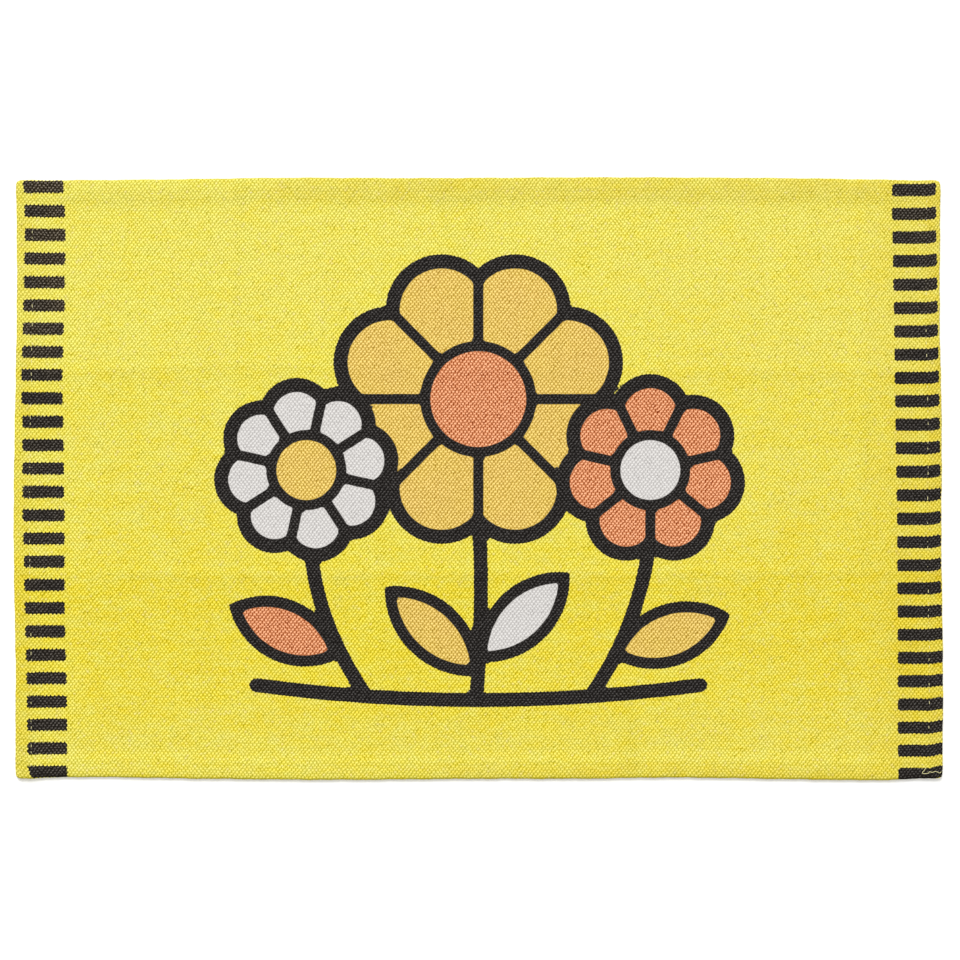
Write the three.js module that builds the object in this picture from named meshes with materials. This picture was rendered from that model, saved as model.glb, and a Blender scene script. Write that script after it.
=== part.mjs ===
import * as THREE from 'three';
import { mergeVertices } from 'three/addons/utils/BufferGeometryUtils.js';

// A nursery rug lying flat: one panel of cotton canvas, with its four edges turned under twice
// and sewn down. Sizes are in millimetres. X runs along the rug's length, Y across its width
// and Z up from the floor. The origin is on the floor, under the middle of the rug.

// Driving dimensions
const RUG_LENGTH = 926;
const RUG_WIDTH = 600.5;
const CANVAS = 2.2;
const HEM_WIDTH = 14;
const HEM_HEIGHT = 5.2;
const CORNER_RADIUS = 5;
const LARGEST_CELL = 30;

const CANVAS_YELLOW = '#e9d958';
const CANVAS_ROUGHNESS = 0.95;

// The canvas folds round at the rug's edge: half of the hem's height, and flat on the floor.
const FOLD_RADIUS = HEM_HEIGHT / 2;
const FLOOR_INSET = 0.9;
const SHOULDER_INSET = 0.4;

// Rings of points up the rug's edge, from the floor to the top face.
const EDGE_RINGS = [
  { inset: FLOOR_INSET, onFloor: true },
  { inset: 0, onFloor: false },
  { inset: SHOULDER_INSET, onFloor: false },
];

// How much of the hem's extra height is left, going in from the edge. The canvas comes down to
// the floor over the last two rows.
const HEM_SECTION = [
  { inset: 0, share: 1 },
  { inset: FOLD_RADIUS / 2, share: 1 },
  { inset: FOLD_RADIUS, share: 1 },
  { inset: HEM_WIDTH, share: 1 },
  { inset: HEM_WIDTH + 4, share: 0.55 },
  { inset: HEM_WIDTH + 10, share: 0 },
];

// Two hems cross at each corner, where this share of the lower one's height adds to the other's.
const CROSSED_HEM_SHARE = 0.45;

// How far each edge wanders outwards from its straight line. The wander dies away inside the rug.
const WANDER_REACH = 120;
const LEFT_EDGE = [
  { at: -290, out: -0.7 },
  { at: -255, out: -0.2 },
  { at: -190, out: -0.6 },
  { at: -125, out: 0.7 },
  { at: -40, out: 1.6 },
  { at: 40, out: 0.7 },
  { at: 100, out: -0.5 },
  { at: 190, out: -1.8 },
  { at: 290, out: -1.1 },
];
const RIGHT_EDGE = [
  { at: -290, out: 0.9 },
  { at: -230, out: 1.6 },
  { at: -155, out: 1.2 },
  { at: -65, out: -0.1 },
  { at: 25, out: 0.3 },
  { at: 100, out: -0.4 },
  { at: 130, out: -1.4 },
  { at: 290, out: -1.1 },
];
const TOP_EDGE = [
  { at: -455, out: -1.7 },
  { at: -360, out: -1.3 },
  { at: -275, out: -0.3 },
  { at: -200, out: 0.8 },
  { at: -60, out: 0.5 },
  { at: 120, out: 1.3 },
  { at: 260, out: 0.8 },
  { at: 340, out: 0.1 },
  { at: 400, out: -1 },
  { at: 455, out: -1.9 },
];
const BOTTOM_EDGE = [
  { at: -455, out: -0.2 },
  { at: -415, out: -1.8 },
  { at: -275, out: -0.2 },
  { at: -155, out: 0.9 },
  { at: 0, out: -0.1 },
  { at: 120, out: -0.3 },
  { at: 180, out: -1.4 },
  { at: 340, out: 0.7 },
  { at: 400, out: 1.3 },
  { at: 455, out: -1 },
];

// Ridges left where the rug was folded up. Each follows its line: at is a place along the ridge,
// across is where the ridge lies there, and share is how much of its height is left there.
const RIDGE_STEPS = 4;
const RIDGES_ALONG_X = [
  {
    height: 0.8,
    halfWidth: 9,
    line: [
      { at: -463, across: 102, share: 0.4 },
      { at: -390, across: 105, share: 1 },
      { at: -240, across: 113, share: 1 },
      { at: -120, across: 108, share: 0.6 },
      { at: 240, across: 106, share: 0.7 },
      { at: 463, across: 106, share: 0.4 },
    ],
  },
  {
    height: 0.9,
    halfWidth: 8,
    line: [
      { at: -463, across: -99, share: 0.4 },
      { at: -300, across: -98, share: 1 },
      { at: 150, across: -99, share: 1 },
      { at: 330, across: -97, share: 0.8 },
      { at: 463, across: -96, share: 0.4 },
    ],
  },
];
const RIDGES_ALONG_Y = [
  {
    height: 0.45,
    halfWidth: 9,
    line: [
      { at: -300, across: -243, share: 0.3 },
      { at: 120, across: -241, share: 0.5 },
      { at: 280, across: -239, share: 1 },
    ],
  },
  {
    height: 0.5,
    halfWidth: 9,
    line: [
      { at: -290, across: -17, share: 1 },
      { at: -200, across: -18, share: 0.4 },
      { at: 200, across: -18, share: 0.4 },
      { at: 290, across: -17, share: 1 },
    ],
  },
];

// Reads a column of a table as a smooth curve over the table's at column.
function curveOf(table, column) {
  const places = table.map((row) => row.at);
  const values = table.map((row) => row[column]);
  const curve = new THREE.CubicInterpolant(places, values, 1);
  return (place) => {
    const inside = THREE.MathUtils.clamp(place, places[0], places[places.length - 1]);
    return curve.evaluate(inside)[0];
  };
}

const leftOut = curveOf(LEFT_EDGE, 'out');
const rightOut = curveOf(RIGHT_EDGE, 'out');
const topOut = curveOf(TOP_EDGE, 'out');
const bottomOut = curveOf(BOTTOM_EDGE, 'out');

// The share of the hem's extra height at a distance in from one edge.
function hemShare(inset) {
  const outer = HEM_SECTION.findLastIndex((row) => row.inset <= inset);
  if (outer === HEM_SECTION.length - 1) {
    return 0;
  }
  const from = HEM_SECTION[outer];
  const to = HEM_SECTION[outer + 1];
  return THREE.MathUtils.mapLinear(inset, from.inset, to.inset, from.share, to.share);
}

// The share of the full height that the round fold at the edge has reached.
function foldShare(inset) {
  const reach = Math.min(inset / FOLD_RADIUS, 1);
  return 0.5 + 0.5 * Math.sqrt(1 - (1 - reach) ** 2);
}

// The height that one ridge adds: at its full height on its line, and none at its half width.
function makeRidge(ridge) {
  const acrossAt = curveOf(ridge.line, 'across');
  const shareAt = curveOf(ridge.line, 'share');
  return (at, across) => {
    const offset = Math.min(Math.abs(across - acrossAt(at)) / ridge.halfWidth, 1);
    return ridge.height * shareAt(at) * Math.cos((offset * Math.PI) / 2) ** 2;
  };
}

const ridgesAlongX = RIDGES_ALONG_X.map(makeRidge);
const ridgesAlongY = RIDGES_ALONG_Y.map(makeRidge);

function ridgeHeight(x, y) {
  let height = 0;
  for (const ridge of ridgesAlongX) {
    height += ridge(x, y);
  }
  for (const ridge of ridgesAlongY) {
    height += ridge(y, x);
  }
  return height;
}

// The top of the cloth above the floor, over the hems, the ridges and the fold at the edge.
function topHeight(x, y) {
  const insetX = RUG_LENGTH / 2 - Math.abs(x);
  const insetY = RUG_WIDTH / 2 - Math.abs(y);
  const upper = Math.max(hemShare(insetX), hemShare(insetY));
  const lower = Math.min(hemShare(insetX), hemShare(insetY));
  const hem = (HEM_HEIGHT - CANVAS) * (upper + CROSSED_HEM_SHARE * lower);
  return (CANVAS + hem + ridgeHeight(x, y)) * foldShare(Math.min(insetX, insetY));
}

// Draws a square corner in to a round one. Points further in stay where they are.
function roundCorner(x, y) {
  const straightX = RUG_LENGTH / 2 - CORNER_RADIUS;
  const straightY = RUG_WIDTH / 2 - CORNER_RADIUS;
  const overX = Math.max(Math.abs(x) - straightX, 0) / CORNER_RADIUS;
  const overY = Math.max(Math.abs(y) - straightY, 0) / CORNER_RADIUS;
  const drawnX = CORNER_RADIUS * overX * Math.sqrt(1 - overY ** 2 / 2);
  const drawnY = CORNER_RADIUS * overY * Math.sqrt(1 - overX ** 2 / 2);
  return {
    x: Math.sign(x) * (Math.min(Math.abs(x), straightX) + drawnX),
    y: Math.sign(y) * (Math.min(Math.abs(y), straightY) + drawnY),
  };
}

// How far the cloth at a point is carried sideways by the wandering edges.
function wander(x, y) {
  const nearness = (half, place) =>
    1 - THREE.MathUtils.smoothstep(half - place, 0, WANDER_REACH);
  const halfLength = RUG_LENGTH / 2;
  const halfWidth = RUG_WIDTH / 2;
  return {
    x: rightOut(y) * nearness(halfLength, x) - leftOut(y) * nearness(halfLength, -x),
    y: topOut(x) * nearness(halfWidth, y) - bottomOut(x) * nearness(halfWidth, -y),
  };
}

// Places of the grid's lines across one side of the rug: close at the hems and over the ridges,
// and no further apart than the largest cell between them.
function gridLines(half, ridges) {
  const fixed = HEM_SECTION.flatMap((row) => [row.inset - half, half - row.inset]);
  for (const ridge of ridges) {
    const centres = ridge.line.map((point) => point.across);
    const low = Math.min(...centres) - ridge.halfWidth;
    const high = Math.max(...centres) + ridge.halfWidth;
    const steps = Math.round((RIDGE_STEPS * (high - low)) / (2 * ridge.halfWidth));
    for (let step = 0; step <= steps; step++) {
      fixed.push(THREE.MathUtils.lerp(low, high, step / steps));
    }
  }
  fixed.sort((a, b) => a - b);
  const lines = [fixed[0]];
  for (let i = 1; i < fixed.length; i++) {
    const cells = Math.ceil((fixed[i] - fixed[i - 1]) / LARGEST_CELL);
    for (let cell = 1; cell <= cells; cell++) {
      lines.push(THREE.MathUtils.lerp(fixed[i - 1], fixed[i], cell / cells));
    }
  }
  return lines;
}

// Where a point of the flat grid lies on the rug.
function rugPoint(gridX, gridY, ringIndex) {
  const ring = EDGE_RINGS[ringIndex];
  const reachX = RUG_LENGTH / 2 - ring.inset;
  const reachY = RUG_WIDTH / 2 - ring.inset;
  const x = THREE.MathUtils.clamp(gridX, -reachX, reachX);
  const y = THREE.MathUtils.clamp(gridY, -reachY, reachY);
  const rounded = roundCorner(x, y);
  const carried = wander(rounded.x, rounded.y);
  const height = ring.onFloor ? 0 : topHeight(x, y);
  return new THREE.Vector3(rounded.x + carried.x, rounded.y + carried.y, height);
}

// The rug's solid: a box's grid of points, each moved to its place on the rug.
function makeRugGeometry() {
  const columns = gridLines(RUG_LENGTH / 2, RIDGES_ALONG_Y);
  const rows = gridLines(RUG_WIDTH / 2, RIDGES_ALONG_X);
  const counts = [columns.length - 1, rows.length - 1, EDGE_RINGS.length - 1];
  const box = new THREE.BoxGeometry(1, 1, 1, ...counts);
  box.deleteAttribute('normal');
  box.deleteAttribute('uv');
  const geometry = mergeVertices(box);
  const points = geometry.attributes.position;
  for (let i = 0; i < points.count; i++) {
    const column = Math.round((points.getX(i) + 0.5) * counts[0]);
    const row = Math.round((points.getY(i) + 0.5) * counts[1]);
    const ring = Math.round((points.getZ(i) + 0.5) * counts[2]);
    const point = rugPoint(columns[column], rows[row], ring);
    points.setXYZ(i, point.x, point.y, point.z);
  }
  geometry.computeBoundingBox();
  const middle = geometry.boundingBox.getCenter(new THREE.Vector3());
  geometry.translate(-middle.x, -middle.y, 0);
  geometry.computeVertexNormals();
  return geometry;
}

const canvas = new THREE.MeshStandardMaterial({
  color: CANVAS_YELLOW,
  roughness: CANVAS_ROUGHNESS,
  metalness: 0,
});

const rug = new THREE.Mesh(makeRugGeometry(), canvas);
rug.name = 'rug';

const group = new THREE.Group();
group.add(rug);

export default group;
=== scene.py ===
# %% [markdown]
# # A printed canvas rug for a nursery
# This lesson turns a plain hemmed slab into a cotton canvas rug: one panel of plain-woven cloth
# with turned hems, printed in bright inks and sewn down with thread. The slab is the frame. It
# gives the outline that the cloth keeps to, and the cloth stands in its place.

# %% Load the frame
import math

import bpy
import numpy as np
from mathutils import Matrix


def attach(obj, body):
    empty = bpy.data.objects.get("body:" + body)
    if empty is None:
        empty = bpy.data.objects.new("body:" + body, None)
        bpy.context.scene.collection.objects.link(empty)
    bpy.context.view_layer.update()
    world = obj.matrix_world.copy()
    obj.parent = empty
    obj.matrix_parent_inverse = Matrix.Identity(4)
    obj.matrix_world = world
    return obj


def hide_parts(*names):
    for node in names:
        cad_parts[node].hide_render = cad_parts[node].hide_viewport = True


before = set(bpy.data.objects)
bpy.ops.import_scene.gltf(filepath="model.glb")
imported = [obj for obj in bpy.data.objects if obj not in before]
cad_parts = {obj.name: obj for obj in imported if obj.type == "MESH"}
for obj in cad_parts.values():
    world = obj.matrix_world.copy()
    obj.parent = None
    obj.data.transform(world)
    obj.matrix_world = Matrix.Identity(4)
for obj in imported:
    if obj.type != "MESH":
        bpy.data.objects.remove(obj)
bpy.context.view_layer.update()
MM = 0.001
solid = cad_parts["rug"]

# %% [markdown]
# ## The rug's own sizes
# The rug is a 60 by 90 cm one, cut larger so that each edge can be turned under twice. Thick
# yarns make a cloth about two millimetres through, and three layers of it make the hem. Sizes
# could stand in each step, but then a change has to be made in many places. Every later step
# works from these few numbers and from short tables with named columns. All sizes of the rug are
# in millimetres, and MM turns them into Blender's metres.

# %% Driving sizes, in millimetres
RUG_LENGTH = 926.0
RUG_WIDTH = 600.5
HALF_LENGTH = RUG_LENGTH / 2
HALF_WIDTH = RUG_WIDTH / 2
CANVAS = 2.2
HEM_WIDTH = 14.0
HEM_HEIGHT = 5.2
CORNER_RADIUS = 5.0
WARP_PITCH = 1.925
WEFT_PITCH = 2.5
print("yarns to the centimetre:", round(10 / WARP_PITCH, 1), "by", round(10 / WEFT_PITCH, 1))


def table(columns, *rows):
    """A short table: the names of its columns, then its rows."""
    return [dict(zip(columns.split(), row)) for row in rows]

# %% [markdown]
# ## Camera, floor and light
# The rug is seen from straight above, with its long side across the picture. A long lens keeps
# its edges parallel. The camera's height is worked out so that one millimetre of cloth is one
# pixel of a 960 pixel picture.

# %% The camera above the rug
VIEW_WIDTH = 960.0
VIEW_CENTRE = (1.7, -0.9)
LENS = 100.0
SENSOR = 36.0


def deselect_all():
    """Leaves nothing selected, so that the next operator works on its own object."""
    bpy.ops.object.select_all(action="DESELECT")


deselect_all()
camera_height = CANVAS * MM + VIEW_WIDTH * MM * LENS / SENSOR
bpy.ops.object.camera_add(
    location=(VIEW_CENTRE[0] * MM, VIEW_CENTRE[1] * MM, camera_height),
)
camera = bpy.context.active_object
camera.name = "camera"
camera.data.lens = LENS
camera.data.sensor_width = SENSOR
bpy.context.scene.camera = camera
print("camera height, m:", round(camera_height, 3))

# %% [markdown]
# Cloth this flat shows its weave only in a light that comes from one side. A sun lamp would draw
# hard shadows, so one large lamp stands beyond the rug's upper edge, as a studio window would. A
# weak one opposite and the white world fill the shadows. Lamps are placed in metres.

# %% Lamps and world
LAMPS = table(
    "name place size watts",
    ("key", (-0.9, 4.2, 5.6), 3.4, 385.0),
    ("fill", (1.8, -4.6, 5.2), 4.0, 60.0),
)
WORLD_STRENGTH = 0.72


def aim_down_at_rug(place):
    """The turn that points a lamp's -Z axis from its place to the middle of the rug."""
    x, y, z = place
    return (math.atan2(math.hypot(x, y), z), 0, math.atan2(-x, y) + math.pi)


for lamp in LAMPS:
    deselect_all()
    bpy.ops.object.light_add(
        type="AREA", location=lamp["place"], rotation=aim_down_at_rug(lamp["place"]),
    )
    light = bpy.context.active_object
    light.name = lamp["name"] + "_lamp"
    light.data.shape = "SQUARE"
    light.data.size = lamp["size"]
    light.data.energy = lamp["watts"]

world = bpy.data.worlds.new("studio")
world.use_nodes = True
background = world.node_tree.nodes["Background"]
background.inputs["Color"].default_value = (1, 1, 1, 1)
background.inputs["Strength"].default_value = WORLD_STRENGTH
bpy.context.scene.world = world
bpy.context.scene.view_settings.view_transform = "Standard"
print("lamps:", [lamp["name"] for lamp in LAMPS])

# %% [markdown]
# The rug lies on a plain pale floor, like the paper of a studio. It could be a box with walls,
# but from above a large plane is enough. It lies a little low, so that it never shows through
# the underside of the cloth.

# %% The floor
FLOOR_SIZE = 8.0
FLOOR_DROP = 0.3
FLOOR_PAINT = (0.96, 0.96, 0.96, 1)
FLOOR_ROUGHNESS = 0.9


def new_material(piece, name, roughness):
    """Gives a piece a material of its own, and hands back the material's shader."""
    material = bpy.data.materials.new(name)
    material.use_nodes = True
    piece.data.materials.append(material)
    shader = material.node_tree.nodes["Principled BSDF"]
    shader.inputs["Roughness"].default_value = roughness
    return shader


deselect_all()
bpy.ops.mesh.primitive_plane_add(size=FLOOR_SIZE, location=(0, 0, -FLOOR_DROP * MM))
floor = bpy.context.active_object
floor.name = "floor"
floor_shader = new_material(floor, "floor_paint", FLOOR_ROUGHNESS)
floor_shader.inputs["Base Color"].default_value = FLOOR_PAINT
print("floor, m:", FLOOR_SIZE, "by", FLOOR_SIZE)

# %% [markdown]
# ## The outline, read from the frame
# A hemmed edge is never quite straight. The wandering outline could be drawn again, but the
# solid has it in a ring of points halfway up its edge, and a copy could drift away from it. So
# the cloth reads the ring, and each side becomes a curve: how far out the edge lies at a place
# along it. Sewing rolls the lower hem in a little and leaves the upper one out, so these two
# curves shift.

# %% Read the edge ring
RING_LOW = 0.45 * HEM_HEIGHT
RING_HIGH = 0.66 * HEM_HEIGHT
RING_REACH = 4.0
LOWER_SHIFT = -0.45
UPPER_SHIFT = 0.2
HALVES = (HALF_LENGTH, HALF_WIDTH)

solid_points = np.array([v.co for v in solid.data.vertices]) / MM
on_ring = (solid_points[:, 2] > RING_LOW) & (solid_points[:, 2] < RING_HIGH)


def edge_curve(axis, side, shift=0.0):
    """Places along one side of the solid, sorted, and how far out its edge lies at each."""
    across = side * solid_points[:, axis]
    along = solid_points[:, 1 - axis]
    straight = np.abs(along) < HALVES[1 - axis] - CORNER_RADIUS
    chosen = on_ring & straight & (across > HALVES[axis] - RING_REACH)
    order = np.argsort(along[chosen])
    return along[chosen][order], across[chosen][order] - HALVES[axis] + shift


EDGES = {
    "left": edge_curve(0, -1),
    "right": edge_curve(0, 1),
    "bottom": edge_curve(1, -1, shift=LOWER_SHIFT),
    "top": edge_curve(1, 1, shift=UPPER_SHIFT),
}
for name, (places, lies_out) in EDGES.items():
    wander = round(float(np.ptp(lies_out)), 1)
    print(name, "edge wanders by", wander, "mm over", len(places), "points")

# %% [markdown]
# ## The cloth's grid
# On the real rug this is one panel of canvas. It could be a thin box, but a box has nowhere to
# bend. A grid with a line every four millimetres bends anywhere, and closer lines in the hem
# leave room for its round fold. Solidify then gives it an underside.

# %% Lay out the grid
CELL = 4.0
HEM_LINES = (0.0, 1.1, 1.9, 2.8, 5.0, 8.0, 11.0, 13.4, 14.6, 16.5, 19.0, 22.0, 26.0, 30.0)
RIM_CUTS = 3


def grid_lines(half):
    """Places of the grid's lines across the cloth: the hem's own, and even ones between."""
    hem = np.array(HEM_LINES)
    inner = half - hem[-1]
    middle = np.linspace(-inner, inner, round(2 * inner / CELL) + 1)
    return np.concatenate([hem - half, middle[1:-1], half - hem[::-1]])


def apply_modifier(piece, kind, **settings):
    """Adds a modifier with these settings to the active piece, and applies it."""
    bpy.ops.object.modifier_add(type=kind)
    modifier = piece.modifiers[-1]
    for name, value in settings.items():
        setattr(modifier, name, value)
    bpy.ops.object.modifier_apply(modifier=modifier.name)


x_lines = grid_lines(HALF_LENGTH)
y_lines = grid_lines(HALF_WIDTH)
deselect_all()
bpy.ops.mesh.primitive_grid_add(
    x_subdivisions=len(x_lines) - 1, y_subdivisions=len(y_lines) - 1, size=2,
)
cloth = bpy.context.active_object
cloth.name = "rug_cloth"
apply_modifier(cloth, "SOLIDIFY", thickness=1, offset=-1)
print("cloth grid:", len(x_lines), "by", len(y_lines), "lines")

# %% [markdown]
# The rim between the two faces will go round the fold of the hem, so it needs steps. They could
# be cut by hand. Choosing the edges that stand upright and subdividing them works for any grid,
# and for the thread later on.


# %% Cut the rim into steps
def read_all(parts, name, width=1, kind=float):
    """What a mesh keeps under this name for each of its parts, as an array."""
    values = np.empty((len(parts), width), kind)
    parts.foreach_get(name, values.ravel())
    return values if width > 1 else values[:, 0]


def points_of(piece):
    """A piece's points, in its own units."""
    return read_all(piece.data.vertices, "co", width=3)


def move_points(piece, x, y, z):
    """Moves the points of a piece to these places, in millimetres."""
    piece.data.vertices.foreach_set("co", (np.stack([x, y, z], axis=1) * MM).ravel())
    piece.data.update()


def cut_upright_edges(piece, rise, cuts):
    """Cuts the edges of a piece that rise by more than this into steps."""
    mesh = piece.data
    heights = points_of(piece)[read_all(mesh.edges, "vertices", 2, int), 2]
    for parts in (mesh.vertices, mesh.polygons):
        parts.foreach_set("select", np.zeros(len(parts), bool))
    mesh.edges.foreach_set("select", np.abs(heights[:, 0] - heights[:, 1]) > rise)
    bpy.context.tool_settings.mesh_select_mode = (False, True, False)
    bpy.ops.object.mode_set(mode="EDIT")
    bpy.ops.mesh.subdivide(number_cuts=cuts)
    bpy.ops.object.mode_set(mode="OBJECT")


cut_upright_edges(cloth, rise=0.5, cuts=RIM_CUTS)
print("cloth points:", len(cloth.data.vertices), "faces:", len(cloth.data.polygons))

# %% [markdown]
# ## Hems, ridges and waves
# Seen from the side, a hem is a low bank: flat over the turned layers, then a slope where the
# canvas comes down to the floor. Three layers of cloth could be modelled and pressed, but only
# the bank shows, so a short table gives its height at each distance from the edge.

# %% The hem's section
HEM_SECTION = table(
    "at share",
    (0.0, 1.0), (11.0, 1.0), (13.4, 0.9), (14.6, 0.86),
    (16.5, 0.73), (19.0, 0.49), (22.0, 0.25), (26.0, 0.06), (30.0, 0.0),
)
SEAM_INSET = {"left": 16.0, "right": 14.0, "bottom": 14.0, "top": 14.5}
CROSSED_HEM_SHARE = 0.45
FOLD_RADIUS = HEM_HEIGHT / 2
SEAM_DEPTH = 0.42
SEAM_REACH = 2.5
EASE_REACH = 25.0


def read(rows, place, column):
    """A column of a table at these places, on straight lines between its rows."""
    return np.interp(place, [row["at"] for row in rows], [row[column] for row in rows])


def eased(rows, place, column, reach=EASE_REACH):
    """The same, with the corners of the line rounded off within this reach."""
    before = read(rows, place - reach, column)
    after = read(rows, place + reach, column)
    return (before + 2 * read(rows, place, column) + after) / 4


hem_rise = HEM_HEIGHT - CANVAS
print("hem above the canvas, mm:", round(hem_rise, 1))

# %% [markdown]
# The rug was folded in a parcel, so soft ridges cross it, two along its length and five fainter
# ones across. They could be sculpted with a brush. Lines in a named table can be read and changed,
# and the painted shade beside the folds follows the same lines.


# %% The lines of the ridges
def ridge_line(*rows):
    """The line that a ridge follows."""
    return table("at across share", *rows)


# A ridge's step is the strength of the painted shade beside its fold, which the colour reads
# later.
RIDGES = table(
    "runs height half_width step line",
    ("x", 0.8, 9.0, 0.025, ridge_line(
        (-463, 106, 0.4), (-390, 109, 1.0), (-240, 117, 1.0),
        (-120, 112, 0.6), (240, 110, 0.7), (463, 110, 0.7),
    )),
    ("x", 0.9, 8.0, 0.03, ridge_line(
        (-463, -95, 0.6), (-300, -94, 1.0), (150, -94, 1.0), (330, -92, 0.9), (463, -91, 0.6),
    )),
    ("y", 0.45, 9.0, 0.04, ridge_line((-300, -243, 0.0), (120, -241, 0.4), (280, -239, 1.0))),
    ("y", 0.4, 9.0, 0.03, ridge_line(
        (-290, -17, 1.0), (-200, -18, 0.3), (200, -18, 0.3), (290, -3, 1.0),
    )),
    ("y", 0.3, 8.0, 0.04, ridge_line((215, -22, 0.0), (250, -28, 1.0), (290, -46, 1.0))),
    ("y", 0.35, 8.0, 0.05, ridge_line((-290, 152, 1.0), (-230, 150, 0.8), (-190, 150, 0.0))),
    ("y", 0.35, 9.0, 0.05, ridge_line(
        (-260, 385, 0.0), (-215, 376, 1.0), (-150, 352, 0.7),
        (-90, 386, 0.4), (60, 386, 0.8), (120, 384, 0.0),
    )),
)
print("ridges:", [ridge["height"] for ridge in RIDGES], "mm high")

# %% [markdown]
# How high a ridge lifts the cloth depends on how far a place lies from the ridge's line. Straight
# slopes would leave creases, so a cosine rounds the crest and both feet.


# %% The height of the ridges
def beside(ridge, x, y):
    """A place's distance along a ridge, and how far short of the ridge's line it lies."""
    at, across = (x, y) if ridge["runs"] == "x" else (y, x)
    return at, eased(ridge["line"], at, "across") - across


def ridge_height(x, y):
    """The height that the ridges add at a place on the cloth."""
    height = np.zeros_like(x)
    for ridge in RIDGES:
        at, short = beside(ridge, x, y)
        crest = np.cos(np.minimum(np.abs(short) / ridge["half_width"], 1) * np.pi / 2) ** 2
        height += ridge["height"] * eased(ridge["line"], at, "share") * crest
    return height


print("upper long ridge halfway along, mm:", round(float(ridge_height(0.0, 110.0)), 2))

# %% [markdown]
# No cloth lies dead flat. It keeps slow waves, and the sewing draws up small humps along the
# hems and small ripples along the edges. A noise would do, but a few sine waves in a table can
# be tuned one by one.

# %% Waves, puckers and ripples
WAVES = table(
    "long turn start swing",
    (310.0, 25.0, 0.3, 0.10), (190.0, 75.0, 1.9, 0.09), (128.0, 130.0, 4.2, 0.07),
    (83.0, 10.0, 5.1, 0.04), (61.0, 100.0, 2.6, 0.04),
)
PUCKERS = table("long start swing", (41.0, 0.8, 0.12), (27.0, 3.1, 0.10), (16.5, 5.5, 0.07))
RIPPLES = table("long start swing", (57.0, 1.1, 0.16), (23.0, 4.0, 0.12), (9.3, 2.2, 0.10))
PUCKER_REACH = 24.0
PUCKER_SHIFT = 37.0


def sines(waves, along):
    """The sum of these waves at places along a line."""
    total = np.zeros_like(along)
    for wave in waves:
        total += wave["swing"] * np.sin(2 * np.pi * along / wave["long"] + wave["start"])
    return total


def wave_height(x, y):
    """Slow waves of the cloth, never below the floor."""
    height = np.zeros_like(x)
    for wave in WAVES:
        turn = math.radians(wave["turn"])
        height += wave["swing"] + sines([wave], x * math.cos(turn) + y * math.sin(turn))
    return height


def pucker_height(along, inset):
    """Small humps that the sewing draws up along a hem. They die away inside the rug."""
    return sines(PUCKERS, along) * np.clip(1 - inset / PUCKER_REACH, 0, 1)


print("waves up to", round(2 * sum(wave["swing"] for wave in WAVES), 2), "mm high")

# %% [markdown]
# All of these add up to one height. It could be kept as a picture of heights, but a function
# answers for any place, so the thread can ask for it too. Where two hems cross at a corner, the
# sewing presses the layers, so only a part of the second hem is added.


# %% The top of the cloth
def hem_insets(x, y):
    """How far inside the ends and the sides a place lies, with each seam at the hem's width."""
    end_seam = np.where(x < 0, SEAM_INSET["left"], SEAM_INSET["right"])
    side_seam = np.where(y < 0, SEAM_INSET["bottom"], SEAM_INSET["top"])
    inset_x = (HALF_LENGTH - np.abs(x)) * HEM_WIDTH / end_seam
    inset_y = (HALF_WIDTH - np.abs(y)) * HEM_WIDTH / side_seam
    return inset_x, inset_y


def top_height(x, y):
    """The top of the cloth above the floor, before the fold at the edge takes it down."""
    inset_x, inset_y = hem_insets(x, y)
    share_x = read(HEM_SECTION, inset_x, "share")
    share_y = read(HEM_SECTION, inset_y, "share")
    crossed = CROSSED_HEM_SHARE * np.minimum(share_x, share_y)
    hem = hem_rise * (np.maximum(share_x, share_y) + crossed)
    seam_gap = np.minimum(np.abs(inset_x - HEM_WIDTH), np.abs(inset_y - HEM_WIDTH))
    seam = SEAM_DEPTH * np.clip(1 - seam_gap / SEAM_REACH, 0, 1)
    puckers = pucker_height(y, inset_x) + pucker_height(x + PUCKER_SHIFT, inset_y)
    return CANVAS + hem - seam + puckers + ridge_height(x, y) + wave_height(x, y)


print("cloth's top in the middle, mm:", round(float(top_height(0.0, 0.0)), 2))

# %% [markdown]
# ## Where a place on the flat cloth comes to lie
# The real rug was cut flat and then lay down as it liked. A cloth simulation could do that, but
# it would not keep to the frame's outline. So one rule says where a place on the flat cloth ends
# up. The corners are drawn in, the edges take the frame's outline and the ripples of a sewn hem,
# and the height comes from the cells above.

# %% From the flat cloth to the floor
WANDER_REACH = 120.0


def fold_share(inset):
    """How much of the full height the round fold at the edge has reached."""
    reach = np.clip(inset / FOLD_RADIUS, 0, 1)
    return 0.5 + 0.5 * np.sqrt(1 - (1 - reach) ** 2)


def parted(place, half):
    """The part of a place short of the corners, and the part past that."""
    straight = np.clip(place, CORNER_RADIUS - half, half - CORNER_RADIUS)
    return straight, place - straight


def round_corner(x, y):
    """Draws the square corners in to round ones."""
    straight_x, past_x = parted(x, HALF_LENGTH)
    straight_y, past_y = parted(y, HALF_WIDTH)
    drawn_x = past_x * np.sqrt(1 - (past_y / CORNER_RADIUS) ** 2 / 2)
    drawn_y = past_y * np.sqrt(1 - (past_x / CORNER_RADIUS) ** 2 / 2)
    return straight_x + drawn_x, straight_y + drawn_y


def nearness(inset):
    """One at an edge, and nothing a hand's width inside it."""
    reach = np.clip(1 - inset / WANDER_REACH, 0, 1)
    return reach * reach * (3 - 2 * reach)


def out_by(side, along):
    """How far out an edge lies at these places, with its ripples."""
    return np.interp(along, *EDGES[side]) + sines(RIPPLES, along)


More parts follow.
